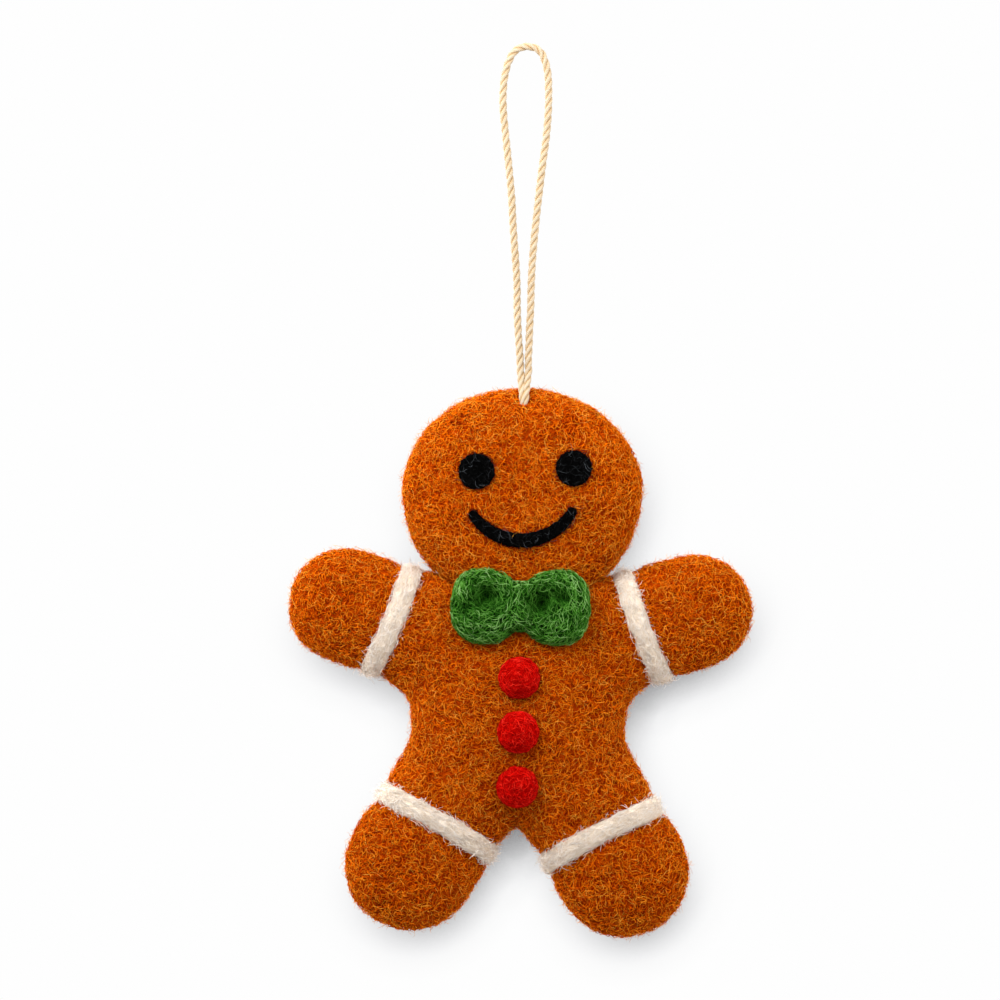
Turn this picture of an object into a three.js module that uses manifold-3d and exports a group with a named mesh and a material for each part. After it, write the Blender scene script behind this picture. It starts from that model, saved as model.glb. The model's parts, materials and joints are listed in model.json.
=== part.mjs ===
// A needle-felted gingerbread figure that hangs by a loop of twisted cord.
// Millimetres, +Z up. It faces -Y, and left and right are as seen from the front.
// The origin is the hang point, on the inside of the top of the loop.
import * as THREE from "three";
import { mergeVertices } from "three/addons/utils/BufferGeometryUtils.js";
import Module from "manifold-3d";

const wasm = await Module();
wasm.setup();

// Fits
const clearance = 0.3; // gap between pieces that touch
const skinWall = 2.4; // dyed felt over the undyed core wool

// Head: a round pad with a blunt edge, set forward of the body's middle plane
const headHalfWidth = 25.2;
const headRise = 21.7; // middle up to the crown
const headDrop = 25.4; // middle down to the chin
const headHalfDepth = 9.5;
const headForward = 1.5;
const headOverlap = 11; // how far the torso's top is tucked up behind the chin

// Torso: a pad with a rounded rectangle for its outline
const torsoHalfWidth = 22.6;
const torsoHalfHeight = 27.7;
const torsoHalfDepth = 9;
const backFlatDepth = 0.5; // taken off the back, where it lay on the felting mat

// Arms: tapered, flattened, round at the hand
const handRadius = 11.95;
const shoulderHalfWidth = 12.6;
const armHalfDepth = 7.2;
const armReach = 24.4; // shoulder to the middle of the hand
const armRise = 17.5; // degrees above level
const shoulderInset = 8.9; // shoulder inside the torso's side
const shoulderRise = 9.8; // shoulder above the torso's middle

// Legs: tapered, flattened, round at the foot
const footRadius = 13.9;
const hipHalfWidth = 13.6;
const legHalfDepth = 7.4;
const leftLegReach = 25.2; // hip to the middle of the foot
const rightLegReach = 26;
const legSpread = 31; // degrees out from straight down
const hipSpacing = 18.3;
const hipDrop = 15.7; // hip below the torso's middle

// Neck: a plug of core wool that ties the head to the torso
const neckHalfWidth = 8;
const neckHalfDepth = 3.4;
const neckIntoHead = 8;
const neckIntoTorso = 8;

// White bands round the limbs, placed from the middle of the hand or foot towards the torso
const bandWidth = 3.8;
const bandThickness = 0.7;
const leftArmBandAt = 9.9;
const rightArmBandAt = 11.3;
const leftLegBandAt = 10;
const rightLegBandAt = 8.6;
const armBandTilt = 4; // degrees past square to the arm
const legBandTilt = -2.5;

// Face: eyes and smile, felted on a little off the middle and a little turned
const faceShift = 0.7;
const faceTilt = 2.7; // degrees
const faceProud = 0.9; // how far eyes and smile stand off the head
const eyeSpacing = 20.5;
const eyeRise = 4.25; // eyes above the head's middle
const eyeRadius = 3.8;
const smileRadius = 12.4;
const smileShift = -0.8; // smile to the left of the eyes' middle, before the turn
const smileRise = 1.8; // centre of the smile's arc above the head's middle
const smileHalfAngle = 57.5; // degrees
const smileWidth = 2.85;
const smileTipWidth = 1.9;

// Bow tie: two dimpled loops and a knot over the chin
const bowRise = 0.9; // bow's middle above the lowest point of the chin
const bowHalfLength = 14.8;
const bowHalfHeight = 8.2;
const bowHalfDepth = 4.6;
const bowForward = 1.2; // bow's middle plane in front of the chest
const dimpleRadius = 3.2;
const dimpleDepth = 1.3;
const dimpleOut = 5; // dimple from the bow's middle
const bowKnotHalfWidth = 2.6;
const bowKnotHalfHeight = 5.5;
const bowKnotHalfDepth = 4.4;

// Buttons: felt balls down the torso
const buttonRadius = 4.5;
const buttonSink = 0.5; // ball's middle under the torso's surface
const topButtonRise = 2.5; // top button above the torso's middle
const buttonSpacing = 11.4;

// Cord: a loop of two strands that come together in a neck, sink into the head and end in a knot
const cordDiameter = 1.6;
const neckDiameter = 3.5;
const neckAboveCrown = 1.5; // the cord bends this far above the crown
const neckDepth = 7; // straight part of the neck below the crown
const entryDrop = 2.9; // the cord's front goes under the felt this far below the crown
const anchorKnotRadius = 2.8;
const anchorKnotDrop = 14; // middle of the knot below the crown

// Middle lines of the loop's strands, from the neck up: a height, and the left and right strand's x there
const loopStrands = [
  [-67.4, -0.85, 0.85],
  [-65.2, -0.95, 0.78],
  [-62, -1.24, 0.87],
  [-58.9, -1.5, 0.92],
  [-54.2, -1.78, 1.08],
  [-49.4, -1.9, 1.1],
  [-43, -2.4, 1.35],
  [-36.8, -2.95, 1.8],
  [-30.4, -3.4, 2.4],
  [-24.1, -4.1, 3.05],
  [-17.8, -4.85, 3.75],
  [-11.5, -5.5, 4.1],
  [-8.2, -5.5, 4.05],
  [-5.1, -5.15, 3.85],
  [-2, -4.3, 3.1],
  [0, -2.95, 1.9],
];
const loopTopX = -0.55;

// Exponents of the rounded forms: 2 is an ellipse, and more is blunter
const headEdge = 2.8;
const torsoEdge = 2.6;
const torsoOutline = 4;
const bowEdge = 2.2;
const bowOutline = 2.4;

// Facet counts
const fine = { around: 28, across: 8, cap: 5 };
const plain = { around: 16, across: 6, cap: 3 };
const small = { around: 10, across: 5, cap: 3 };
const cordSides = 8;
const cordSteps = 44;
const mergeDistance = 1e-4;

function wool(color) {
  return new THREE.MeshStandardMaterial({ color, roughness: 0.95, metalness: 0 });
}

const gingerbreadFelt = wool(0xb14904);
const coreWool = wool(0xe4dac8);
const whiteWool = wool(0xf0e2d0);
const greenWool = wool(0x2f5a1a);
const redWool = wool(0xb50a07);
const blackWool = wool(0x0e0e0d);
const cottonCord = wool(0xf0dcb7);

// A closed geometry as a solid that can be cut and joined.
function solidOf(geometry) {
  const bare = new THREE.BufferGeometry();
  bare.setAttribute("position", geometry.getAttribute("position"));
  bare.setIndex(geometry.index);
  const merged = mergeVertices(bare, mergeDistance);
  const corners = merged.index.array;
  const triangles = [];
  for (let i = 0; i < corners.length; i += 3) {
    const [a, b, c] = corners.slice(i, i + 3);
    if (a !== b && b !== c && c !== a) {
      triangles.push(a, b, c);
    }
  }
  const vertProperties = merged.getAttribute("position").array;
  const triVerts = new Uint32Array(triangles);
  return new wasm.Manifold(new wasm.Mesh({ numProp: 3, vertProperties, triVerts }));
}

function addPiece(group, name, solid, material) {
  const { vertProperties, triVerts } = solid.getMesh();
  const geometry = new THREE.BufferGeometry();
  geometry.setAttribute("position", new THREE.BufferAttribute(vertProperties, 3));
  geometry.setIndex(new THREE.BufferAttribute(triVerts, 1));
  geometry.computeVertexNormals();
  const mesh = new THREE.Mesh(geometry, material);
  mesh.name = name;
  group.add(mesh);
}

// A sine or cosine pushed out to a superellipse of this exponent.
function blunt(value, exponent) {
  return Math.sign(value) * Math.abs(value) ** (2 / exponent);
}

// A pad turned about Y that swells to its middle, grown or shrunk all round.
function padSolid(pad, grow, detail) {
  const profile = [];
  for (let i = 0; i <= detail.across; i++) {
    const angle = Math.PI * (i / detail.across - 0.5);
    profile.push(new THREE.Vector2(blunt(Math.cos(angle), pad.edge), blunt(Math.sin(angle), pad.edge)));
  }
  const geometry = new THREE.LatheGeometry(profile, detail.around);
  const points = geometry.getAttribute("position");
  for (let i = 0; i < points.count; i++) {
    const across = Math.hypot(points.getX(i), points.getZ(i)) || 1;
    const height = points.getZ(i) < 0 ? pad.drop : pad.rise;
    points.setXYZ(
      i,
      pad.x + (pad.halfWidth + grow) * across * blunt(points.getX(i) / across, pad.outline),
      pad.y + (pad.halfDepth + grow) * points.getY(i),
      pad.z + (height + grow) * across * blunt(points.getZ(i) / across, pad.outline),
    );
  }
  return solidOf(geometry);
}

// The y of a pad's front surface.
function frontOf(pad, x, z) {
  const height = z < pad.z ? pad.drop : pad.rise;
  const sideways = Math.abs((x - pad.x) / pad.halfWidth) ** pad.outline;
  const upright = Math.abs((z - pad.z) / height) ** pad.outline;
  const out = (sideways + upright) ** (1 / pad.outline);
  return pad.y - pad.halfDepth * (1 - out ** pad.edge) ** (1 / pad.edge);
}

// A limb from its root, grown or shrunk all round: a tapered lathe with a round end, flattened in Y.
function limbSolid(limb, grow, detail) {
  const root = limb.rootHalfWidth + grow;
  const tip = limb.tipRadius + grow;
  const profile = [new THREE.Vector2(0, 0), new THREE.Vector2(root, 0)];
  for (let i = 0; i <= detail.cap; i++) {
    const angle = (Math.PI / 2) * (i / detail.cap);
    profile.push(new THREE.Vector2(tip * Math.cos(angle), limb.reach + tip * Math.sin(angle)));
  }
  const geometry = new THREE.LatheGeometry(profile, detail.around);
  geometry.scale(1, 1, (limb.halfDepth + grow) / root);
  geometry.rotateX(Math.PI / 2);
  return solidOf(geometry.applyMatrix4(limb.place));
}

// A box across a limb that holds the slice of its length under the band.
function limbSlice(limb) {
  const across = 2 * (limb.rootHalfWidth + limb.tipRadius);
  const geometry = new THREE.BoxGeometry(across, across, bandWidth);
  geometry.rotateY(THREE.MathUtils.degToRad(-limb.sign * limb.bandTilt));
  geometry.translate(0, 0, limb.reach - limb.bandAt);
  return solidOf(geometry.applyMatrix4(limb.place));
}

function ballSolid(radius, x, y, z, detail) {
  const geometry = new THREE.SphereGeometry(radius, detail.around, detail.across);
  geometry.rotateX(Math.PI / 2);
  return solidOf(geometry.translate(x, y, z));
}

// A limb's frame: its own +Z runs from the root out along the limb.
function limbPlace(x, z, degreesFromUp) {
  const turn = new THREE.Matrix4().makeRotationY(THREE.MathUtils.degToRad(degreesFromUp));
  return new THREE.Matrix4().makeTranslation(x, 0, z).multiply(turn);
}

// Places in the figure's own frame, which has its origin at the crown
const head = {
  x: 0,
  y: -headForward,
  z: -headRise,
  halfWidth: headHalfWidth,
  rise: headRise,
  drop: headDrop,
  halfDepth: headHalfDepth,
  outline: 2,
  edge: headEdge,
};
const chinZ = head.z - headDrop;
const torso = {
  x: 0,
  y: 0,
  z: chinZ + headOverlap - torsoHalfHeight,
  halfWidth: torsoHalfWidth,
  rise: torsoHalfHeight,
  drop: torsoHalfHeight,
  halfDepth: torsoHalfDepth,
  outline: torsoOutline,
  edge: torsoEdge,
};

const sides = [
  { name: "left", sign: -1, armBandAt: leftArmBandAt, legBandAt: leftLegBandAt, legReach: leftLegReach },
  { name: "right", sign: 1, armBandAt: rightArmBandAt, legBandAt: rightLegBandAt, legReach: rightLegReach },
];

function armOf(side) {
  return {
    name: side.name + "_arm",
    sign: side.sign,
    rootHalfWidth: shoulderHalfWidth,
    tipRadius: handRadius,
    halfDepth: armHalfDepth,
    reach: armReach,
    bandAt: side.armBandAt,
    bandTilt: armBandTilt,
    place: limbPlace(
      side.sign * (torsoHalfWidth - shoulderInset),
      torso.z + shoulderRise,
      side.sign * (90 - armRise),
    ),
  };
}

function legOf(side) {
  return {
    name: side.name + "_leg",
    sign: side.sign,
    rootHalfWidth: hipHalfWidth,
    tipRadius: footRadius,
    halfDepth: legHalfDepth,
    reach: side.legReach,
    bandAt: side.legBandAt,
    bandTilt: legBandTilt,
    place: limbPlace(side.sign * (hipSpacing / 2), torso.z - hipDrop, side.sign * (180 - legSpread)),
  };
}

const limbs = sides.flatMap((side) => [armOf(side), legOf(side)]);

// The cord's neck stands where its front side goes under the felt at the entry.
const neckRadius = neckDiameter / 2;
const neckY = frontOf(head, 0, -entryDrop) + neckRadius;
const crownZ = loopStrands[0][0] - clearance - neckRadius - neckAboveCrown;

// The straight neck, round on top where the cord bends, in the figure's frame
function cordNeck(grow, top) {
  const radius = neckRadius + grow;
  const profile = [new THREE.Vector2(0, -neckDepth - grow), new THREE.Vector2(radius, -neckDepth - grow)];
  for (let i = 0; i <= plain.cap; i++) {
    const angle = (Math.PI / 2) * (i / plain.cap);
    profile.push(new THREE.Vector2(radius * Math.cos(angle), top + radius * Math.sin(angle)));
  }
  const geometry = new THREE.LatheGeometry(profile, plain.around);
  geometry.rotateX(Math.PI / 2);
  return solidOf(geometry.translate(0, neckY, 0));
}

// The tail that slants from under the neck to the middle of the head, and the knot on its end
function cordAnchor(grow) {
  const radius = neckRadius + grow;
  const tailTop = new THREE.Vector3(0, neckY, -neckDepth - clearance - neckRadius);
  const knot = new THREE.Vector3(0, head.y, -anchorKnotDrop);
  const along = knot.clone().sub(tailTop);
  const geometry = new THREE.CylinderGeometry(radius, radius, along.length(), small.around);
  const turn = new THREE.Quaternion().setFromUnitVectors(new THREE.Vector3(0, 1, 0), along.normalize());
  geometry.applyQuaternion(turn);
  const middle = tailTop.clone().lerp(knot, 0.5);
  return solidOf(geometry.translate(middle.x, middle.y, middle.z))
    .add(ballSolid(radius, tailTop.x, tailTop.y, tailTop.z, small))
    .add(ballSolid(anchorKnotRadius + grow, knot.x, knot.y, knot.z, small));
}

// The plug of core wool through the chin
function neckPlug(grow) {
  const length = neckIntoHead + neckIntoTorso + 2 * grow;
  const geometry = new THREE.CylinderGeometry(1, 1, length, plain.around);
  geometry.scale(neckHalfWidth + grow, 1, neckHalfDepth + grow);
  geometry.rotateX(Math.PI / 2);
  return solidOf(geometry.translate(0, head.y / 2, chinZ + (neckIntoHead - neckIntoTorso) / 2));
}

// Everything behind the back's flat, which is cut away
function behindBack() {
  const depth = 2 * torsoHalfDepth;
  const geometry = new THREE.BoxGeometry(4 * torsoHalfWidth, depth, 4 * torsoHalfHeight);
  return solidOf(geometry.translate(0, torsoHalfDepth - backFlatDepth + depth / 2, torso.z));
}

// Everything on the other side of the figure's middle, so that the legs never cross it
function acrossMiddle(sign) {
  const width = 4 * torsoHalfWidth;
  const geometry = new THREE.BoxGeometry(width, width, 8 * torsoHalfHeight);
  return solidOf(geometry.translate(sign * (clearance / 2 - width / 2), 0, torso.z));
}

const headSeat = padSolid(head, clearance, fine);
const torsoSeat = padSolid(torso, clearance, fine);
const torsoHollow = padSolid(torso, -skinWall, plain);

function addHead(group) {
  const cordHole = cordNeck(clearance, neckDepth).add(cordAnchor(clearance));
  const plugHole = neckPlug(clearance);
  const skin = padSolid(head, 0, fine).subtract(padSolid(head, -skinWall, plain));
  const core = padSolid(head, -skinWall - clearance, plain);
  addPiece(group, "head_skin", skin.subtract(cordHole).subtract(plugHole), gingerbreadFelt);
  addPiece(group, "head_core", core.subtract(cordHole).subtract(plugHole), coreWool);
  addPiece(group, "neck_plug", neckPlug(0), coreWool);
  addPiece(group, "cord_neck", cordNeck(0, neckAboveCrown), cottonCord);
  addPiece(group, "anchor_knot", cordAnchor(0), cottonCord);
}

function addTorso(group) {
  let skin = padSolid(torso, 0, fine).subtract(behindBack()).subtract(headSeat).subtract(torsoHollow);
  for (const limb of limbs) {
    skin = skin.subtract(limbSolid(limb, -skinWall, plain));
  }
  const core = padSolid(torso, -skinWall - clearance, plain).subtract(headSeat);
  addPiece(group, "torso_skin", skin, gingerbreadFelt);
  addPiece(group, "torso_core", core.subtract(neckPlug(clearance)), coreWool);
}

function addLimb(group, limb) {
  const otherSide = acrossMiddle(limb.sign);
  const outside = limbSolid(limb, 0, fine).subtract(torsoSeat).subtract(headSeat).subtract(otherSide);
  const core = limbSolid(limb, -skinWall - clearance, plain).subtract(torsoHollow).subtract(headSeat);
  const band = limbSolid(limb, clearance + bandThickness, fine)
    .subtract(limbSolid(limb, clearance, fine))
    .intersect(limbSlice(limb))
    .subtract(torsoSeat)
    .subtract(headSeat);
  addPiece(group, limb.name + "_skin", outside.subtract(limbSolid(limb, -skinWall, plain)), gingerbreadFelt);
  addPiece(group, limb.name + "_core", core.subtract(otherSide), coreWool);
  addPiece(group, limb.name + "_band", band, whiteWool);
}

// The smile's outline: an arc that thins towards its ends, each end round
function smileShape() {
  const steps = 10;
  const tipSteps = 4;
  const halfSpan = THREE.MathUtils.degToRad(smileHalfAngle);
  const at = (radius, angle) => new THREE.Vector2(radius * Math.sin(angle), -radius * Math.cos(angle));
  const edge = (share, side) => {
    const width = smileWidth + (smileTipWidth - smileWidth) * share * share;
    return at(smileRadius + (side * width) / 2, share * halfSpan);
  };
  const tip = (end, step) => {
    const turn = Math.PI * (step / tipSteps);
    const out = new THREE.Vector2(Math.sin(halfSpan * end), -Math.cos(halfSpan * end));
    const on = new THREE.Vector2(-out.y, out.x).multiplyScalar(end);
    return at(smileRadius, end * halfSpan)
      .addScaledVector(out, (end * Math.cos(turn) * smileTipWidth) / 2)
      .addScaledVector(on, (Math.sin(turn) * smileTipWidth) / 2);
  };
  const outline = [];
  for (let i = 1 - steps; i < steps; i++) {
    outline.push(edge(i / steps, 1));
  }
  for (let i = 0; i <= tipSteps; i++) {
    outline.push(tip(1, i));
  }
  for (let i = steps - 1; i > -steps; i--) {
    outline.push(edge(i / steps, -1));
  }
  for (let i = 0; i <= tipSteps; i++) {
    outline.push(tip(-1, i));
  }
  return new THREE.Shape(outline);
}

// Eyes and smile are slices of a shell round the head.
function addFace(group) {
  const shell = padSolid(head, clearance + faceProud, fine).subtract(headSeat);
  const length = headHalfDepth + headForward + clearance + faceProud;
  const turn = THREE.MathUtils.degToRad(-faceTilt);
  const onFace = (geometry) => solidOf(geometry.rotateY(turn).translate(faceShift, 0, head.z));
  for (const side of sides) {
    const eye = new THREE.CylinderGeometry(eyeRadius, eyeRadius, length, plain.around);
    eye.translate((side.sign * eyeSpacing) / 2, head.y - length / 2, eyeRise);
    addPiece(group, side.name + "_eye", onFace(eye).intersect(shell), blackWool);
  }
  const smile = new THREE.ExtrudeGeometry(smileShape(), { depth: length, bevelEnabled: false });
  smile.rotateX(Math.PI / 2).translate(smileShift, head.y, smileRise);
  addPiece(group, "smile", onFace(smile).intersect(shell), blackWool);
}

function addBow(group) {
  const middleZ = chinZ + bowRise;
  const middleY = frontOf(torso, 0, middleZ) - bowForward;
  const knot = {
    x: 0,
    y: middleY,
    z: middleZ,
    halfWidth: bowKnotHalfWidth,
    rise: bowKnotHalfHeight,
    drop: bowKnotHalfHeight,
    halfDepth: bowKnotHalfDepth,
    outline: bowOutline,
    edge: bowEdge,
  };
  const knotSeat = padSolid(knot, clearance, plain);
  for (const side of sides) {
    const loop = {
      x: (side.sign * bowHalfLength) / 2,
      y: middleY,
      z: middleZ,
      halfWidth: bowHalfLength / 2 - clearance / 2,
      rise: bowHalfHeight,
      drop: bowHalfHeight,
      halfDepth: bowHalfDepth,
      outline: bowOutline,
      edge: bowEdge,
    };
    const dimpleX = side.sign * dimpleOut;
    const dimpleY = frontOf(loop, dimpleX, middleZ) + dimpleDepth - dimpleRadius;
    const solid = padSolid(loop, 0, plain)
      .subtract(knotSeat)
      .subtract(torsoSeat)
      .subtract(headSeat)
      .subtract(ballSolid(dimpleRadius, dimpleX, dimpleY, middleZ, plain));
    addPiece(group, "bow_" + side.name + "_loop", solid, greenWool);
  }
  const cutKnot = padSolid(knot, 0, plain).subtract(torsoSeat).subtract(headSeat);
  addPiece(group, "bow_knot", cutKnot, greenWool);
}

function addButtons(group) {
  ["top", "middle", "bottom"].forEach((name, i) => {
    const z = torso.z + topButtonRise - i * buttonSpacing;
    let ball = ballSolid(buttonRadius, 0, frontOf(torso, 0, z) + buttonSink, z, plain).subtract(torsoSeat);
    for (const limb of limbs) {
      ball = ball.subtract(limbSolid(limb, clearance, fine));
    }
    addPiece(group, name + "_button", ball, redWool);
  });
}

// The loop goes up on the left of the neck, over the hang point, and comes down on the right.
function addLoop(group) {
  const up = loopStrands.map(([z, left]) => new THREE.Vector3(left, 0, z));
  const top = new THREE.Vector3(loopTopX, 0, cordDiameter / 2);
  const down = loopStrands.map(([z, , right]) => new THREE.Vector3(right, 0, z)).reverse();
  const section = [];
  for (let i = 0; i < cordSides; i++) {
    const angle = (2 * Math.PI * i) / cordSides;
    section.push(new THREE.Vector2(Math.cos(angle), Math.sin(angle)).multiplyScalar(cordDiameter / 2));
  }
  const tube = new THREE.ExtrudeGeometry(new THREE.Shape(section), {
    steps: cordSteps,
    extrudePath: new THREE.CatmullRomCurve3([...up, top, ...down]),
  });
  addPiece(group, "hanging_loop", solidOf(tube), cottonCord);
}

const figure = new THREE.Group();
figure.position.set(0, -neckY, crownZ);
addHead(figure);
addTorso(figure);
limbs.forEach((limb) => addLimb(figure, limb));
addFace(figure);
addBow(figure);
addButtons(figure);

const ornament = new THREE.Group();
ornament.add(figure);
addLoop(ornament);

export default ornament;
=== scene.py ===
import json
import math
import random

import bmesh
import bpy
from mathutils import Matrix, Vector, bvhtree, kdtree, noise

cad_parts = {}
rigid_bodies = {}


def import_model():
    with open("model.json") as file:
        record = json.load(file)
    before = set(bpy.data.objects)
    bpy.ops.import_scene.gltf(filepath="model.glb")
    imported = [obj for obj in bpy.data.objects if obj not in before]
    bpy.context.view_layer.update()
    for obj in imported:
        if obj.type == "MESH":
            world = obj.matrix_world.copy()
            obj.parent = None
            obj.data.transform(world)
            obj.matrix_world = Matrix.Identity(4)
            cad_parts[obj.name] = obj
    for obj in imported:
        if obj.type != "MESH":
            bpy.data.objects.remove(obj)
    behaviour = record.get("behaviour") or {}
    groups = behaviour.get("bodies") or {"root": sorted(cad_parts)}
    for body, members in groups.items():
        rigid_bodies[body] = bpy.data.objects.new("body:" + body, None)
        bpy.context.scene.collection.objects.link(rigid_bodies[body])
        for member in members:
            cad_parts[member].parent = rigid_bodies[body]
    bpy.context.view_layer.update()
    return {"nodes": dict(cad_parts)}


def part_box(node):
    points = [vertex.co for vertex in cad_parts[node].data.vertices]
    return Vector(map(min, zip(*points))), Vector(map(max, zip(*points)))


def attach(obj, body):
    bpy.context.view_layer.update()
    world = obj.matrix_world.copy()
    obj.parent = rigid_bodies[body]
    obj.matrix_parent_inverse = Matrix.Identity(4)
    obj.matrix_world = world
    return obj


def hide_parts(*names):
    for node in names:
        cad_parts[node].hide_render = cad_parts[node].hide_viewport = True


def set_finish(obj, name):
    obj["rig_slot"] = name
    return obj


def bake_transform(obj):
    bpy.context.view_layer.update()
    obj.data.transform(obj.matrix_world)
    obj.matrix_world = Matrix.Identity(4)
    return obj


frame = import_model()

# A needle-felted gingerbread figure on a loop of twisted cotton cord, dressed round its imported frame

mm = 0.001  # pieces are given in millimetres, the scene is in metres
scene = bpy.context.scene
scene.view_settings.view_transform = "Standard"


# Small tools that every piece uses

def toLinear(hexColour):  # "b14904" to a linear RGBA
    channels = [int(hexColour[i:i + 2], 16) / 255 for i in (0, 2, 4)]
    return [c / 12.92 if c <= 0.04045 else ((c + 0.055) / 1.055) ** 2.4 for c in channels] + [1.0]


def addNode(tree, kind, settings=None, inputs=None):  # a node with its settings, values and links
    node = tree.nodes.new(kind)
    for name, value in (settings or {}).items():
        setattr(node, name, value)
    for name, value in (inputs or {}).items():
        if isinstance(value, bpy.types.NodeSocket):
            tree.links.new(value, node.inputs[name])
        else:
            node.inputs[name].default_value = value
    return node


def rampOf(tree, factor, stops):  # a colour ramp from (place, hex) stops
    ramp = addNode(tree, "ShaderNodeValToRGB", inputs={"Fac": factor})
    elements = ramp.color_ramp.elements
    while len(elements) < len(stops):
        elements.new(0.5)
    for element, (place, colour) in zip(elements, stops):
        element.position = place
        element.color = toLinear(colour)
    return ramp.outputs["Color"]


def startMaterial(name, roughness, glow=None):  # a Principled material, with a glow at its edges if given
    made = bpy.data.materials.new(name)
    made.use_nodes = True
    shader = made.node_tree.nodes["Principled BSDF"]
    weight, tint = glow or (0.0, "ffffff")
    shader.inputs["Roughness"].default_value = roughness
    shader.inputs["Specular IOR Level"].default_value = 0.0  # a fuzzy surface scatters all its shine
    shader.inputs["IOR"].default_value = 1.54  # keratin and cellulose are close to this
    shader.inputs["Sheen Weight"].default_value = weight
    shader.inputs["Sheen Roughness"].default_value = 0.5
    shader.inputs["Sheen Tint"].default_value = toLinear(tint)
    return made, made.node_tree, shader


def addObject(name, mesh):
    made = bpy.data.objects.new(name, mesh)
    scene.collection.objects.link(made)
    return made


def fromBmesh(name, bm):
    mesh = bpy.data.meshes.new(name)
    bm.to_mesh(mesh)
    bm.free()
    return addObject(name, mesh)


def meshOf(obj):  # the object's mesh with its modifiers run
    bpy.context.view_layer.update()
    return bpy.data.meshes.new_from_object(obj.evaluated_get(bpy.context.evaluated_depsgraph_get()))


def run(obj, *steps):  # runs modifiers on a piece and keeps what they make
    for kind, settings in steps:
        modifier = obj.modifiers.new(kind.title(), kind)
        for name, value in settings.items():
            setattr(modifier, name, value)
    made, old = meshOf(obj), obj.data
    obj.modifiers.clear()
    obj.data = made
    bpy.data.meshes.remove(old)
    return obj


def remesh(size):  # even faces of this size, in millimetres
    return "REMESH", {"mode": "VOXEL", "voxel_size": size * mm, "use_smooth_shade": True}


def smooth(times):
    return "SMOOTH", {"factor": 0.5, "iterations": times}


def swell(amount):  # out along the normals, in millimetres
    return "DISPLACE", {"strength": amount * mm, "mid_level": 0.0, "direction": "NORMAL"}


def nodeCopy(name, *nodes, hull=False):  # merged copies of CAD nodes, or the hulls round them
    bm = bmesh.new()
    for node in nodes:
        part = bmesh.new()
        part.from_mesh(frame["nodes"][node].data)
        bmesh.ops.remove_doubles(part, verts=part.verts, dist=0.002 * mm)
        if hull:
            bmesh.ops.delete(part, geom=part.edges[:] + part.faces[:], context="EDGES_FACES")
            bmesh.ops.convex_hull(part, input=part.verts)
            bmesh.ops.delete(part, geom=[v for v in part.verts if not v.link_faces], context="VERTS")
        passing = bpy.data.meshes.new("passing")
        part.to_mesh(passing)
        part.free()
        bm.from_mesh(passing)
        bpy.data.meshes.remove(passing)
    return fromBmesh(name, bm)


def joined(name, *pieces):  # several objects as one
    bm = bmesh.new()
    for piece in pieces:
        bm.from_mesh(piece.data)
        bpy.data.objects.remove(piece)
    return fromBmesh(name, bm)


def lumpy(obj, amount, size, shift=0.0):  # soft hand-made lumps, in millimetres
    bm = bmesh.new()
    bm.from_mesh(obj.data)
    bm.normal_update()
    away = Vector((shift, shift, shift))
    moves = [v.normal * (noise.noise(v.co / (size * mm) + away) * amount * mm) for v in bm.verts]
    for v, move in zip(bm.verts, moves):
        v.co += move
    bm.to_mesh(obj.data)
    bm.free()
    return obj


def dress(obj, material, slot, *nodes, fill):  # finish, slot, the nodes it stands for; fill, how tight it is, is not used
    obj.data.materials.clear()
    obj.data.materials.append(material)
    obj.data.shade_smooth()
    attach(obj, "figure")
    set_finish(obj, slot)
    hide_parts(*nodes)


# Camera: straight on, turned a degree, so that the picture is 211 mm wide

view = {
    "millimetresWide": 211.0,
    "aim": (-4.68, 5.0, -94.84),
    "roll": 1.0,
    "distance": 4000.0,
    "sensor": 36.0,
    "clipEnd": 20000.0,
}


def addCamera():
    data = bpy.data.cameras.new("camera")
    data.sensor_width = view["sensor"]
    data.lens = view["sensor"] * view["distance"] / view["millimetresWide"]
    data.clip_end = view["clipEnd"] * mm
    camera = bpy.data.objects.new("camera", data)
    scene.collection.objects.link(camera)
    turn = math.radians(view["roll"])
    right = Vector((math.cos(turn), 0, math.sin(turn)))
    up = Vector((-math.sin(turn), 0, math.cos(turn)))
    back = Vector((0, -1, 0))
    place = Vector(view["aim"]) * mm + back * view["distance"] * mm
    camera.matrix_world = Matrix.Translation(place) @ Matrix((right, up, back)).transposed().to_4x4()
    scene.camera = camera


addCamera()
print("camera set")


# Cord: three cotton plies laid up right-handed, two runs that sink side by side into the front of the crown

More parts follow.
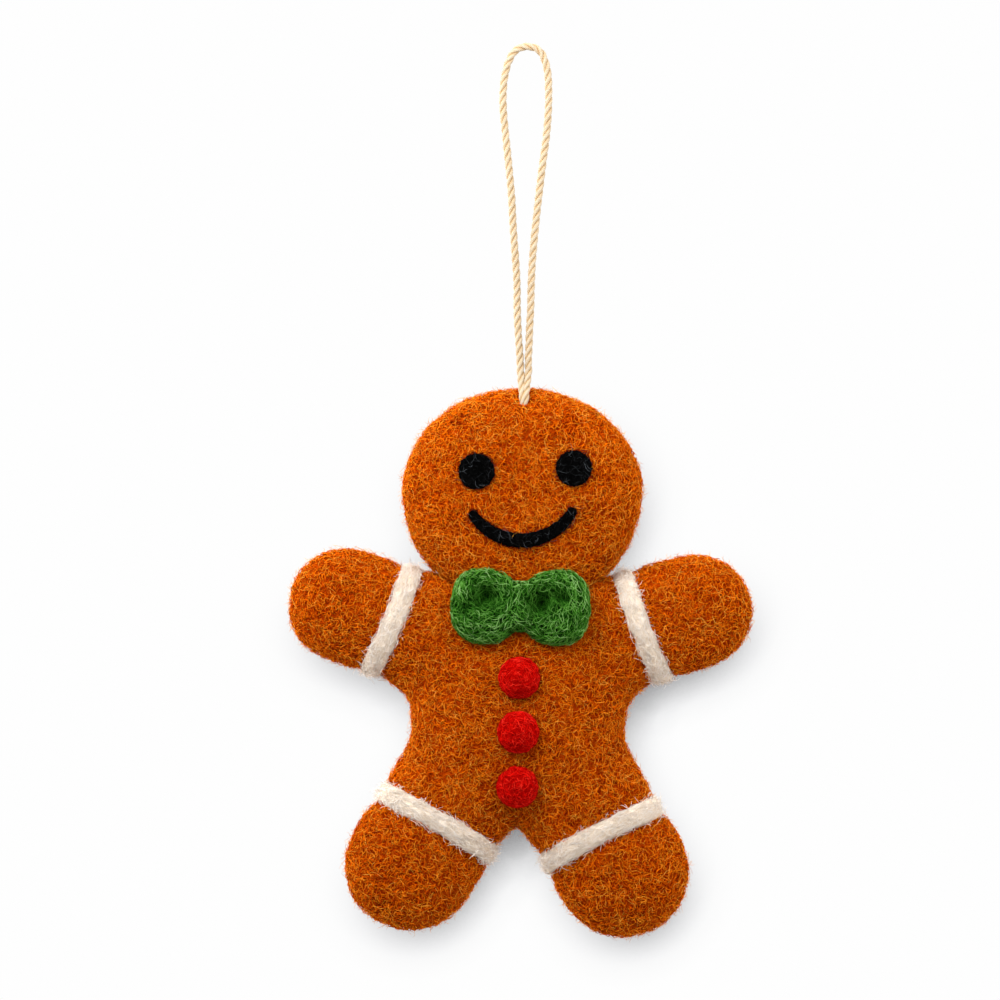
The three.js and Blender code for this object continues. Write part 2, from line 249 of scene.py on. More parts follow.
cord = {
    "diameter": 1.6,
    "plies": 3,
    "plyRadius": 0.46,
    "plyOffset": 0.37,
    "pitch": 5.9,
    "yarnPitch": 3.0,  # the yarns of a ply are twisted the other way
    "yarnsRound": 2.4,  # streaks round a ply
    "yarnsAlong": 0.35,  # and per millimetre along it
    "yarnDepth": 0.1,
    "step": 0.3,
    "sideSteps": 2,
    "hingeZ": -69.45,
    "bendReach": 3.2,  # the cord bends this far above and below the hinge
    # Heights up from the neck, and the x of the left and right strand there, as on the frame's loop
    "strands": [
        (-67.4, -0.85, 0.85), (-65.2, -0.95, 0.78), (-62, -1.24, 0.87), (-58.9, -1.5, 0.92),
        (-54.2, -1.78, 1.08), (-49.4, -1.9, 1.1), (-43, -2.4, 1.35), (-36.8, -2.95, 1.8),
        (-30.4, -3.4, 2.4), (-24.1, -4.1, 3.05), (-17.8, -4.85, 3.75), (-11.5, -5.5, 4.1),
        (-8.2, -5.5, 4.05), (-5.1, -5.15, 3.85), (-2, -4.3, 3.1), (0, -2.95, 1.9),
    ],
    "topX": -0.55,
    # Below the neck's top the two are squeezed together and go under the felt: x, y and z of the right one
    "ends": [
        (0.1, 1.2, -77), (0.12, -0.9, -75.2), (0.24, -1.5, -73.6), (0.46, -0.9, -71.4), (0.66, -0.3, -69.3),
    ],
}


def undyedCotton():  # soft cream, each ply streaked by its own yarns, with a painted tan shade in the grooves
    made, tree, shader = startMaterial("undyedCotton", 0.75)
    place = addNode(tree, "ShaderNodeAttribute", {"attribute_name": "yarnPlace"}).outputs["Vector"]
    yarns = addNode(tree, "ShaderNodeTexNoise", inputs={"Vector": place, "Scale": 1.0, "Detail": 3.0})
    groove = addNode(tree, "ShaderNodeAttribute", {"attribute_name": "groove"}).outputs["Fac"]
    streak = rampOf(tree, yarns.outputs["Fac"], [(0.3, "bda98a"), (0.5, "c5b59c"), (0.72, "cfc3b3")])
    # the grooves are painted a tan shade, deeper the deeper a point lies between the plies
    deep = addNode(tree, "ShaderNodeMix", {"data_type": "RGBA", "blend_type": "MULTIPLY"},
                   {0: groove, 6: streak, 7: toLinear("ecc47c")})  # 6 and 7 are the colours to mix
    tree.links.new(deep.outputs[2], shader.inputs["Base Color"])
    bump = addNode(tree, "ShaderNodeBump", inputs={
        "Height": yarns.outputs["Fac"], "Strength": 0.3, "Distance": cord["yarnDepth"] * mm})
    tree.links.new(bump.outputs["Normal"], shader.inputs["Normal"])
    return made


def smoothLine(points, step):  # an evenly stepped smooth line through points
    curve = bpy.data.curves.new("line", "CURVE")
    curve.dimensions = "3D"
    curve.resolution_u = 24
    spline = curve.splines.new("BEZIER")
    spline.bezier_points.add(len(points) - 1)
    for knot, point in zip(spline.bezier_points, points):
        knot.co = Vector(point)
        knot.handle_left_type = knot.handle_right_type = "AUTO"
    passing = bpy.data.objects.new("line", curve)
    scene.collection.objects.link(passing)
    mesh = meshOf(passing)
    fine = [v.co.copy() for v in mesh.vertices]
    bpy.data.objects.remove(passing)
    bpy.data.curves.remove(curve)
    bpy.data.meshes.remove(mesh)
    line, owed = [fine[0]], step
    for a, b in zip(fine, fine[1:]):
        span = (b - a).length
        while owed <= span:
            line.append(a.lerp(b, owed / span))
            owed += step
        owed -= span
    return line


def plySpline(curve, line, ply):  # one ply's helix round the cord's line
    spline = curve.splines.new("POLY")
    spline.points.add(len(line) - 1)
    for i, centre in enumerate(line):
        ahead = (line[min(i + 1, len(line) - 1)] - line[max(i - 1, 0)]).normalized()
        side = Vector((0, 1, 0)).cross(ahead).normalized()
        front = ahead.cross(side)
        angle = 2 * math.pi * (i * cord["step"] / cord["pitch"] + ply / cord["plies"])
        offset = (side * math.cos(angle) + front * math.sin(angle)) * cord["plyOffset"]
        spline.points[i].co = [*(centre + offset) * mm, 1.0]


def addCord():
    up = [(-x, y, z) for x, y, z in cord["ends"]] + [(left, 0, z) for z, left, _ in cord["strands"]]
    down = cord["ends"] + [(right, 0, z) for z, _, right in cord["strands"]]
    line = smoothLine(up + [(cord["topX"], 0, cord["diameter"] / 2)] + down[::-1], cord["step"])
    curve = bpy.data.curves.new("plies", "CURVE")
    curve.dimensions = "3D"
    curve.bevel_depth = cord["plyRadius"] * mm
    curve.bevel_resolution = cord["sideSteps"]
    curve.use_fill_caps = True
    for ply in range(cord["plies"]):
        plySpline(curve, line, ply)
    passing = bpy.data.objects.new("plies", curve)
    scene.collection.objects.link(passing)
    piece = addObject("hanging_cord", meshOf(passing))
    bpy.data.objects.remove(passing)
    markYarns(piece.data, line)
    return piece, [point * mm for point in line]


def markYarns(mesh, line):  # where each point lies on its ply, and how deep in the grooves, which sets their painted shade
    perPly = len(mesh.vertices) // cord["plies"]
    perRing = perPly // len(line)
    middle = kdtree.KDTree(len(line))
    for i, point in enumerate(line):
        middle.insert(point * mm, i)
    middle.balance()
    mesh.attributes.new("yarnPlace", "FLOAT_VECTOR", "POINT")
    mesh.attributes.new("groove", "FLOAT", "POINT")
    place, groove = mesh.attributes["yarnPlace"].data, mesh.attributes["groove"].data
    around = cord["yarnsRound"]
    for v in mesh.vertices:
        ring, side = divmod(v.index % perPly, perRing)
        along = ring * cord["step"]
        turn = 2 * math.pi * (side / perRing - along / cord["yarnPitch"])
        place[v.index].vector = (around * math.cos(turn), around * math.sin(turn), cord["yarnsAlong"] * along)
        out = middle.find(v.co)[2] / mm
        deep = (cord["plyRadius"] + cord["plyOffset"] - out) / cord["plyOffset"]
        groove[v.index].value = min(max(deep, 0.0), 1.0)


cordPiece, cordLine = addCord()
cordPiece.data.materials.append(undyedCotton())
cordPiece.data.shade_smooth()
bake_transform(cordPiece)
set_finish(cordPiece, "cotton_cord")
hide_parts("hanging_loop", "cord_neck")


# Wool: a felted ground with loose fibres as real hairs over it

felts = {  # the ground's colours from its gaps, darker there as painted shade, to its top; the hairs' from dark to light
    "gingerbread": {"ground": ["5c1100", "902900", "b84300"],
                    "hairs": ["902300", "ca4900", "ec7204", "f8a42e"],
                    "glow": (0.3, "f8a42e")},  # light that comes through the loose hairs at the rim
    # the fuzz hairs are painted a lighter gold than the felt, a painted light coming through them from behind
    "golden": {"hairs": ["d67006", "ea8a14", "f69e28", "fdb648"], "glow": (0.4, "fdb648")},
    "cream": {"ground": ["ead6bc", "f0e0cb", "f5e9da"], "hairs": ["e4d0b8", "f1e4d4", "f6ece1", "faf4ee"]},
    "green": {"ground": ["020a01", "061a02", "123006"], "hairs": ["0a2805", "36721d", "6aac42", "a2d47e"]},
    "red": {"ground": ["6c0000", "a00301", "c40804"], "hairs": ["920201", "ca0905", "ee1a10", "ff4030"]},
    "black": {"ground": ["020202", "050505", "0a0a0a"], "hairs": ["030303", "080808", "111111", "1e1e1f"]},
    "grey": {"hairs": ["18191a", "26282a", "3c3f42", "585c60"]},
    "core": {"ground": ["cdbfa8", "e2d7c4", "efe7d9"]},
}
feltGrain = {
    "cloud": 5.0,  # width of the dye's clouds
    "cloudShare": 0.35,
    "tangle": 0.9,  # width of the tangles
    "pit": 0.35,  # depth of the gaps between them
    "groundStops": (0.5, 0.66, 0.85),
    "hairStops": (0.0, 0.35, 0.75, 1.0),
}


def feltGround(name):  # matted wool: a cloudy dye, a painted shade in the pits between the tangles, no gloss
    made, tree, shader = startMaterial(name + "Felt", 0.95, felts[name].get("glow"))
    place = addNode(tree, "ShaderNodeTexCoord").outputs["Object"]
    cloud = addNode(tree, "ShaderNodeTexNoise",
                    inputs={"Vector": place, "Scale": 1 / (feltGrain["cloud"] * mm), "Detail": 2.0})
    tangle = addNode(tree, "ShaderNodeTexNoise", inputs={
        "Vector": place, "Scale": 1 / (feltGrain["tangle"] * mm),
        "Detail": 4.0, "Roughness": 0.7, "Distortion": 1.2})
    level = addNode(tree, "ShaderNodeMath", {"operation": "MULTIPLY_ADD"},
                    {0: cloud.outputs["Fac"], 1: feltGrain["cloudShare"], 2: tangle.outputs["Fac"]})
    # the ramp runs darker where the tangles sink, a painted shade in the pits, with the dye's clouds over it
    colour = rampOf(tree, level.outputs[0], list(zip(feltGrain["groundStops"], felts[name]["ground"])))
    tree.links.new(colour, shader.inputs["Base Color"])
    bump = addNode(tree, "ShaderNodeBump", inputs={
        "Height": tangle.outputs["Fac"], "Strength": 0.9, "Distance": feltGrain["pit"] * mm})
    tree.links.new(bump.outputs["Normal"], shader.inputs["Normal"])
    return made


def woolHair(name):  # dyed hairs: each its own tone, hardly any shine
    made, tree, shader = startMaterial(name + "WoolHair", 0.8, felts[name].get("glow"))
    tone = addNode(tree, "ShaderNodeAttribute", {"attribute_name": "fibreTone"}).outputs["Fac"]
    colour = rampOf(tree, tone, list(zip(feltGrain["hairStops"], felts[name]["hairs"])))
    tree.links.new(colour, shader.inputs["Base Color"])
    return made


ground = {name: feltGround(name) for name in felts if "ground" in felts[name]}
hair = {name: woolHair(name) for name in felts if "hairs" in felts[name]}

fibres = {  # lengths in millimetres, angles in degrees
    "matted": {"kinds": 14, "length": 1.8, "thick": 0.2, "rings": 4, "curl": 120, "wave": 30,
               "arch": 0.4, "sink": 0.12, "rise": 0.15},
    "loose": {"kinds": 16, "length": 2.1, "thick": 0.15, "rings": 5, "curl": 130, "wave": 35,
              "arch": 0.5, "sink": 0.1, "rise": 0.5},
    "stray": {"kinds": 16, "length": 2.8, "thick": 0.1, "rings": 5, "curl": 120, "wave": 40,
              "arch": 0.5, "sink": 0.1, "rise": 1.8},
    "fuzz": {"kinds": 16, "length": 2.4, "thick": 0.07, "rings": 5, "curl": 120, "wave": 40,
             "arch": 0.5, "sink": 0.1, "rise": 1.7},
    "combed": {"kinds": 8, "length": 4.2, "thick": 0.14, "rings": 5, "curl": 50, "wave": 26,
               "arch": 0.25, "sink": 0.05, "rise": 0.1},
    "rolled": {"kinds": 16, "length": 3.0, "thick": 0.12, "rings": 6, "curl": 130, "wave": 35,
               "arch": 0.5, "sink": 0.1, "rise": 0.3},
    "balled": {"kinds": 12, "length": 2.2, "thick": 0.11, "rings": 5, "curl": 90, "wave": 25,
               "arch": 0.16, "sink": 0.05, "rise": 0.05},
}


def makeFibre(name, spec, draw):  # one curled three-sided hair with pointed ends, lying along X
    bm = bmesh.new()
    bake = bm.loops.layers.uv.new("OFBake")
    curl = math.radians(spec["curl"]) * draw.uniform(-1, 1)
    wave = math.radians(spec["wave"]) * draw.uniform(0.4, 1)
    phase = draw.uniform(0, 2 * math.pi)
    arch = spec["arch"] * draw.uniform(0.3, 1.3)
    rise = spec["rise"] * draw.uniform(0, 1)
    step = spec["length"] * draw.uniform(0.7, 1.25) / (spec["rings"] - 1)
    centre, places = Vector((0, 0, 0)), []
    for i in range(spec["rings"]):
        share = i / (spec["rings"] - 1)
        heading = curl * (share - 0.5) + wave * math.sin(2 * math.pi * share + phase)
        height = arch * 4 * share * (1 - share) + rise * share * share - spec["sink"]
        places.append((Vector((centre.x, centre.y, height)), heading, share))
        centre = centre + Vector((math.cos(heading), math.sin(heading), 0)) * step
    middle = sum((p for p, _, _ in places), Vector()) / len(places)
    before, spot = None, {}
    for place, heading, share in places:
        radius = spec["thick"] / 2 * math.sqrt(1 - abs(2 * share - 1) ** 3) + 0.001
        turn = Matrix.Rotation(heading, 4, "Z") @ Matrix.Rotation(math.pi / 2, 4, "Y")
        at = Matrix.Translation(Vector((place.x - middle.x, place.y - middle.y, place.z)) * mm) @ turn
        ring = bmesh.ops.create_circle(bm, segments=3, radius=radius * mm, matrix=at)["verts"]
        spot.update({v: (i / 3, share) for i, v in enumerate(ring)})
        edges = list({e for v in ring for e in v.link_edges})
        if before:
            bmesh.ops.bridge_loops(bm, edges=before + edges)
        before = edges
    for face in bm.faces:
        face.smooth = True
        for loop in face.loops:
            loop[bake].uv = spot[loop.vert]
    bmesh.ops.remove_doubles(bm, verts=bm.verts, dist=0.004 * mm)
    bmesh.ops.recalc_face_normals(bm, faces=bm.faces)
    mesh = bpy.data.meshes.new(name)
    bm.to_mesh(mesh)
    bm.free()
    return bpy.data.objects.new(name, mesh)


def fibreStock(name, spec):  # a collection of different hairs of one sort
    draw = random.Random(name)
    stock = bpy.data.collections.new(name)
    for i in range(spec["kinds"]):
        stock.objects.link(makeFibre(f"{name}{i}", spec, draw))
    return stock


stocks = {name: fibreStock(name, spec) for name, spec in fibres.items()}
cover = {"search": 8.0, "sunk": 0.25, "lift": 0.05, "above": 2.0}  # where a piece on top hides the hairs


def comb(piece, flow, covers=(), deep=None):  # which way the hairs lie, how much painted shade darkens them, and which show
    trees = [bvhtree.BVHTree.FromObject(over, bpy.context.evaluated_depsgraph_get()) for over in covers]
    mesh = piece.data
    mesh.attributes.new("flow", "FLOAT_VECTOR", "FACE")
    mesh.attributes.new("shown", "BOOLEAN", "FACE")
    mesh.attributes.new("deep", "FLOAT", "FACE")
    flows, shown, deeps = [mesh.attributes[name].data for name in ("flow", "shown", "deep")]
    for face in mesh.polygons:
        flows[face.index].vector = flow(face.center / mm, face.normal)
        deeps[face.index].value = deep(face.center / mm) if deep else 0.0
        hidden = False
        for tree in trees:
            place, normal, _, _ = tree.find_nearest(face.center, cover["search"] * mm)
            inside = place is not None and (face.center - place).dot(normal) < -cover["sunk"] * mm
            start = face.center + face.normal * cover["lift"] * mm
            above = tree.ray_cast(start, face.normal, cover["above"] * mm)[0]
            hidden = hidden or inside or above is not None
        shown[face.index].value = not hidden


strips = {"size": (0.02, 0.9, 0.0), "inset": (0.02, 0.05, 0.0), "spread": (0.94, 0.0, 0.0)}  # the hairs' map


def fibreTree(stock, material, density, seed, spin, tilt, scale, tone):  # scatters hairs on a combed surface
    tree = bpy.data.node_groups.new("scatter", "GeometryNodeTree")
    tree.interface.new_socket("Geometry", in_out="INPUT", socket_type="NodeSocketGeometry")
    tree.interface.new_socket("Geometry", in_out="OUTPUT", socket_type="NodeSocketGeometry")

    def randomly(low, high, number):
        return addNode(tree, "FunctionNodeRandomValue", {"data_type": "FLOAT"},
                       {2: low, 3: high, "Seed": seed + number}).outputs[1]

    def noted(name, kind):
        note = addNode(tree, "GeometryNodeInputNamedAttribute", {"data_type": kind}, {"Name": name})
        return note.outputs[0]

    start = addNode(tree, "NodeGroupInput")
    points = addNode(tree, "GeometryNodeDistributePointsOnFaces", inputs={
        "Mesh": start.outputs[0], "Selection": noted("shown", "BOOLEAN"),
        "Density": density / mm ** 2, "Seed": seed})
    lie = addNode(tree, "FunctionNodeAxesToRotation", {"primary_axis": "Z", "secondary_axis": "X"}, {
        "Primary Axis": points.outputs["Normal"], "Secondary Axis": noted("flow", "FLOAT_VECTOR")}).outputs[0]
    angles = addNode(tree, "ShaderNodeCombineXYZ", inputs={
        "Y": randomly(-math.radians(tilt), math.radians(tilt), 1),
        "Z": randomly(-math.radians(spin), math.radians(spin), 2)}).outputs[0]
    turn = addNode(tree, "FunctionNodeEulerToRotation", inputs={0: angles}).outputs[0]
    turned = addNode(tree, "FunctionNodeRotateRotation", {"rotation_space": "LOCAL"},
                     {0: lie, 1: turn}).outputs[0]
    pick = addNode(tree, "FunctionNodeRandomValue", {"data_type": "INT"},
                   {4: 0, 5: len(stock.objects) - 1, "Seed": seed + 3}).outputs[2]
    hairs = addNode(tree, "GeometryNodeCollectionInfo", inputs={
        "Collection": stock, "Separate Children": True, "Reset Children": True}).outputs[0]
    placed = addNode(tree, "GeometryNodeInstanceOnPoints", inputs={
        "Points": points.outputs["Points"], "Instance": hairs, "Pick Instance": True, "Instance Index": pick,
        "Rotation": turned, "Scale": randomly(scale[0], scale[1], 4)}).outputs[0]
    # a deep value paints the hairs darker, a painted shade in the bow's hollows
    light = addNode(tree, "ShaderNodeMath", {"operation": "SUBTRACT"},
                    {0: 1.0, 1: noted("deep", "FLOAT")}).outputs[0]
    level = addNode(tree, "ShaderNodeMath", {"operation": "MULTIPLY"},
                    {0: randomly(tone[0], tone[1], 5), 1: light}).outputs[0]
    toned = addNode(tree, "GeometryNodeStoreNamedAttribute", {"data_type": "FLOAT", "domain": "INSTANCE"}, {
        "Geometry": placed, "Name": "fibreTone", "Value": level}).outputs[0]
    real = addNode(tree, "GeometryNodeRealizeInstances", inputs={0: toned}).outputs[0]
    # Hairs of one tone share one strip of the map, so that it stays small
    strip = addNode(tree, "ShaderNodeVectorMath", {"operation": "MULTIPLY_ADD"}, {
        0: noted("OFBake", "FLOAT_VECTOR"), 1: strips["size"], 2: strips["inset"]}).outputs[0]
    shift = addNode(tree, "ShaderNodeCombineXYZ", inputs={"X": noted("fibreTone", "FLOAT")}).outputs[0]
    wide = addNode(tree, "ShaderNodeVectorMath", {"operation": "MULTIPLY_ADD"},
                   {0: shift, 1: strips["spread"], 2: strip}).outputs[0]
    mapped = addNode(tree, "GeometryNodeStoreNamedAttribute", {"data_type": "FLOAT2", "domain": "CORNER"}, {
        "Geometry": real, "Name": "OFBake", "Value": wide}).outputs[0]
    finished = addNode(tree, "GeometryNodeSetMaterial",
                       inputs={"Geometry": mapped, "Material": material}).outputs[0]
    addNode(tree, "NodeGroupOutput", inputs={0: finished})
    return tree


def growCoat(target, wool, sort, density, seed, parts=1, spin=180, tilt=6, scale=(0.75, 1.2), tone=(0, 1)):
    for part in range(parts):
        label = f"{target.name}_{wool}_{sort}" + (f"_{part + 1}" if parts > 1 else "")
        tree = fibreTree(stocks[sort], hair[wool], density / parts, seed + 20 * part, spin, tilt, scale, tone)
        grown = run(addObject(label, target.data.copy()), ("NODES", {"node_group": tree}))
        bpy.data.node_groups.remove(tree)
        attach(grown, "figure")
        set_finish(grown, target["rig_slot"])
        print(label, sum(len(face.vertices) - 2 for face in grown.data.polygons), "triangles")


def growCoats(target, coats):
    for coat in coats:
        growCoat(target, **coat)


# Head and body: the limbs run into the torso with soft hollows, the head lies over it with a crease

figure = {
    "voxel": 0.8,
    "headRounds": 14,
    "headFuller": 0.05,
    "crownDrop": 0.018,
    "coarse": 1.0,  # voxel while the hollows are filled
    "hollow": 5.0,  # radius that fills the armpits and the waist
    "hollowRounds": 4,
    "bodyRounds": 6,
    "lump": 0.3,
    "lumpSize": 7.0,
    "bodyShift": 3.0,  # the body's lumps differ from the head's
    "drawnIn": 0.6,  # the bands are tied tight, so the felt dips beside them
    "drawnReach": 2.2,
    "nap": (1, 0, 0.3),
    # Hairs per square millimetre, their turn and tilt in degrees, their tone from dark to light
    "headCoats": [
        # the matted hairs under the loose ones keep to darker tones, partly tone that differs at random and
        # partly a painted shade beneath the loose hairs
        dict(wool="gingerbread", sort="matted", density=2.4, seed=100, tone=(0, 0.75)),
        dict(wool="gingerbread", sort="loose", density=1.85, seed=200, tilt=20, tone=(0.1, 0.9)),
        # the fuzz is painted lighter, a painted light through it from behind
        dict(wool="golden", sort="fuzz", density=1.4, seed=253, tilt=30),
    ],
    "bodyCoats": [
        # as on the head, the matted hairs' darker tones are partly a painted shade beneath the loose hairs
        dict(wool="gingerbread", sort="matted", density=2.4, seed=300, parts=3, tone=(0, 0.75)),
        dict(wool="gingerbread", sort="loose", density=1.85, seed=400, parts=3, tilt=20, tone=(0.1, 0.9)),
        # the fuzz is painted lighter, a painted light through it from behind
        dict(wool="golden", sort="fuzz", density=1.4, seed=450, parts=2, tilt=30),
    ],
}


def shapeHead():
    head = run(nodeCopy("head_felt", "head_skin", hull=True), remesh(figure["voxel"]),
               smooth(figure["headRounds"]), swell(figure["headFuller"]))
    low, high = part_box("head_skin")
    middle = (low.z + high.z) / 2
    for v in head.data.vertices:
        v.co.z -= max(0.0, v.co.z - middle) * figure["crownDrop"]
    return lumpy(head, figure["lump"], figure["lumpSize"])


def shapeBody():
    halves = []
    for side in ("left", "right"):
        half = nodeCopy(side, "torso_skin", side + "_arm_skin", side + "_leg_skin", hull=True)
        run(half, remesh(figure["coarse"]), swell(figure["hollow"]))
        run(half, remesh(figure["coarse"]), smooth(figure["hollowRounds"]))
        halves.append(run(half, swell(-figure["hollow"])))
    felt = run(joined("body_felt", *halves), remesh(figure["voxel"]))
    cutter = nodeCopy("cutter", "head_skin", hull=True)
    run(felt, ("BOOLEAN", {"operation": "DIFFERENCE", "object": cutter, "solver": "EXACT"}))
    bpy.data.objects.remove(cutter)
    run(felt, remesh(figure["voxel"]), smooth(figure["bodyRounds"]))
    return lumpy(felt, figure["lump"], figure["lumpSize"], figure["bodyShift"])


def alongNap(place, normal):
    return Vector(figure["nap"])


def drawIn(felt, ties):  # the felt dips where the bands are tied round it
    places = [v.co for tie in ties for v in tie.data.vertices]
    near = kdtree.KDTree(len(places))
    for i, place in enumerate(places):
        near.insert(place, i)
    near.balance()
    bm = bmesh.new()
    bm.from_mesh(felt.data)
    bm.normal_update()
    for v in bm.verts:
        far = near.find(v.co)[2] / mm / figure["drawnReach"]
        v.co -= v.normal * figure["drawnIn"] * mm * math.exp(-far * far)
    bm.to_mesh(felt.data)
    bm.free()


# Bands of combed wool round the wrists and ankles, tied tight

bands = {
    "voxel": 0.35,
    "puff": 0.4,
    "tight": 0.6,  # drawn in towards the limb
    "ends": 0.9,  # and more so at the limb's sides
    "crown": 0.8,  # the edges lie this much deeper than the middle
    "halfWidth": 2.2,
    "sag": 0.8,  # the middle of the front lies this much nearer to the body
    "rounds": 8,
    "lump": 0.25,
    "lumpSize": 2.5,
    "limbAxis": {"arm": (0.927, 0, 0.376), "leg": (0.51, 0, -0.86)},
    "coats": [
        dict(wool="cream", sort="combed", density=4.2, seed=500, spin=24, tilt=4, scale=(0.5, 0.9)),
        dict(wool="cream", sort="stray", density=2.6, seed=520, tilt=26, scale=(0.6, 1.2), tone=(0.3, 1)),
    ],
}


def shapeBand(node, axis):  # a soft roll with a round crown, its edges tucked into the felt
    band = run(nodeCopy(node + "_wool", node), swell(bands["puff"]), remesh(bands["voxel"]),
               smooth(bands["rounds"]))
    low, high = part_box(node)
    middle, reach = (low + high) / 2, (high - low).length / 2
    along = axis.cross(Vector((0, 1, 0)))
    for v in band.data.vertices:
        out = v.co - middle
        across = out.dot(axis)
        edge = min(1.0, abs(across) / mm / bands["halfWidth"])
        share = min(1.0, abs(out.dot(along)) / reach)
        deep = bands["tight"] + bands["ends"] * share ** 4 + bands["crown"] * edge ** 2
        v.co -= (out - axis * across).normalized() * deep * mm
        v.co -= axis * bands["sag"] * mm * (1 - share * share)
    return lumpy(band, bands["lump"], bands["lumpSize"])


# Bow: two rolled lobes that run into each other, each with a deep hollow

bow = {
    "voxel": 0.45,
    "rounds": 20,
    "fuller": 0.1,
    "lump": 0.3,
    "lumpSize": 2.6,
    "hollowRounds": 2,
    "dim": 0.75,  # how much darker the hairs are painted at the bottom of a hollow, a painted shade
    "nodes": ("bow_left_loop", "bow_right_loop", "bow_knot"),
    "hollows": [{"x": -7.0, "z": -115.4, "depth": 3.6, "radius": 2.4},
                {"x": 4.4, "z": -116.5, "depth": 3.8, "radius": 2.5}],
    "creases": [{"x": -11.6, "z": -117.2, "depth": 1.6, "radius": 1.5},
                {"x": 8.8, "z": -115.3, "depth": 2.0, "radius": 1.7}],
    "coats": [
        # the matted hairs under the rolled ones keep to darker tones, partly a painted shade beneath them
        dict(wool="green", sort="matted", density=3.0, seed=700, scale=(0.6, 1.0), spin=70, tone=(0, 0.5)),
        dict(wool="green", sort="rolled", density=4.5, seed=720, scale=(0.6, 1.0), spin=55, tilt=12,
             tone=(0.05, 1)),
    ],
}


def shapeBow():
    wool = run(nodeCopy("bow_wool", *bow["nodes"], hull=True), remesh(bow["voxel"]),
               smooth(bow["rounds"]), swell(bow["fuller"]))
    bm = bmesh.new()
    bm.from_mesh(wool.data)
    bm.normal_update()
    for v in bm.verts:
        front = max(0.0, -v.normal.y)
        for hollow in bow["hollows"] + bow["creases"]:
            away = Vector((v.co.x / mm - hollow["x"], v.co.z / mm - hollow["z"])).length / hollow["radius"]
            v.co.y += front * hollow["depth"] * mm * math.exp(-away * away)
    bm.to_mesh(wool.data)
    bm.free()
    run(wool, remesh(bow["voxel"]), smooth(bow["hollowRounds"]))
    return lumpy(wool, bow["lump"], bow["lumpSize"])


def roundHollow(place, normal):  # the bow's hairs run round the nearer hollow
    def away(hollow):
        return Vector((place.x - hollow["x"], 0, place.z - hollow["z"]))
    return normal.cross(away(min(bow["hollows"], key=lambda hollow: away(hollow).length)) + normal * 0.01)


def paintedHollowShade(place):  # painted shade on the bow's hairs: high at the bottom of a hollow or crease, 0 well away from it
    def nearness(hollow):
        away = Vector((place.x - hollow["x"], place.z - hollow["z"])).length / hollow["radius"]
        return math.exp(-away * away)
    return bow["dim"] * max(nearness(hollow) for hollow in bow["hollows"] + bow["creases"])


# Face and buttons: small flat rounds and balls of wool felted on

trim = {
    "voxel": 0.3,
    "eyes": {"nodes": ("left_eye", "right_eye"), "rounds": 5, "fuller": 0.05},
    "smile": {"nodes": ("smile",), "rounds": 3, "fuller": 0.08},
    "buttons": {"nodes": ("top_button", "middle_button", "bottom_button"), "rounds": 5, "fuller": 0.1},
    "faceCoats": [
        dict(wool="black", sort="matted", density=4.0, seed=600, scale=(0.5, 0.8)),
        dict(wool="grey", sort="stray", density=0.6, seed=620, tilt=2, scale=(0.7, 1.1)),
    ],
    "buttonCoats": [
        dict(wool="red", sort="balled", density=9.0, seed=800, spin=80, tilt=5, scale=(0.7, 1.1),
             tone=(0, 0.9)),
    ],
}


def shapeTrim(sort):
    made, spec = {}, trim[sort]
    for node in spec["nodes"]:
        made[node] = run(nodeCopy(node + "_wool", node), remesh(trim["voxel"]),
                         smooth(spec["rounds"]), swell(spec["fuller"]))
    return made


def roundButton(place, normal):  # a button's hairs run round its front
    return normal.cross(Vector((0, 1, 0))) + Vector((0.05, 0, 0))


limbs = [(side, limb) for side in ("left", "right") for limb in ("arm", "leg")]
headFelt = shapeHead()
bodyFelt = shapeBody()
bandWool, bandAxis = {}, {}
for side, limb in limbs:
    node = f"{side}_{limb}_band"
    x, y, z = bands["limbAxis"][limb]
    bandAxis[node] = Vector((-x if side == "left" else x, y, z)).normalized()
    bandWool[node] = shapeBand(node, bandAxis[node])
drawIn(bodyFelt, bandWool.values())
bowWool = shapeBow()
faceWool = shapeTrim("eyes") | shapeTrim("smile")
buttonWool = shapeTrim("buttons")
print("felt shaped,", len(headFelt.data.polygons), "and", len(bodyFelt.data.polygons), "faces")

skins = ["torso_skin"] + [f"{side}_{limb}_skin" for side, limb in limbs]
dress(headFelt, ground["gingerbread"], "gingerbread_felt", "head_skin", fill=0.9)
dress(bodyFelt, ground["gingerbread"], "gingerbread_felt", *skins, fill=0.9)
for node, band in bandWool.items():
    dress(band, ground["cream"], "white_wool", node, fill=0.8)
for node, patch in faceWool.items():
    dress(patch, ground["black"], "black_wool", node, fill=0.9)
dress(bowWool, ground["green"], "green_wool", *bow["nodes"], fill=0.7)
for node, button in buttonWool.items():
    dress(button, ground["red"], "red_wool", node, fill=1.0)

comb(headFelt, alongNap, [bodyFelt, *faceWool.values()])
growCoats(headFelt, figure["headCoats"])
comb(bodyFelt, alongNap, [headFelt, bowWool, *buttonWool.values(), *bandWool.values()])
growCoats(bodyFelt, figure["bodyCoats"])
for node, band in bandWool.items():
    comb(band, lambda place, normal, axis=bandAxis[node]: normal.cross(axis), [bodyFelt])
    growCoats(band, bands["coats"])
for patch in faceWool.values():
    comb(patch, alongNap, [headFelt])
    growCoats(patch, trim["faceCoats"])
# the bow's hairs are painted darker in its hollows and creases, a painted shade
comb(bowWool, roundHollow, deep=paintedHollowShade)
growCoats(bowWool, bow["coats"])
for button in buttonWool.values():
    comb(button, roundButton, [bodyFelt])
    growCoats(button, trim["buttonCoats"])
print("hairs felted on")


# Inside: cores of undyed wool, the plug that ties the head on, and the knot on the cord's end

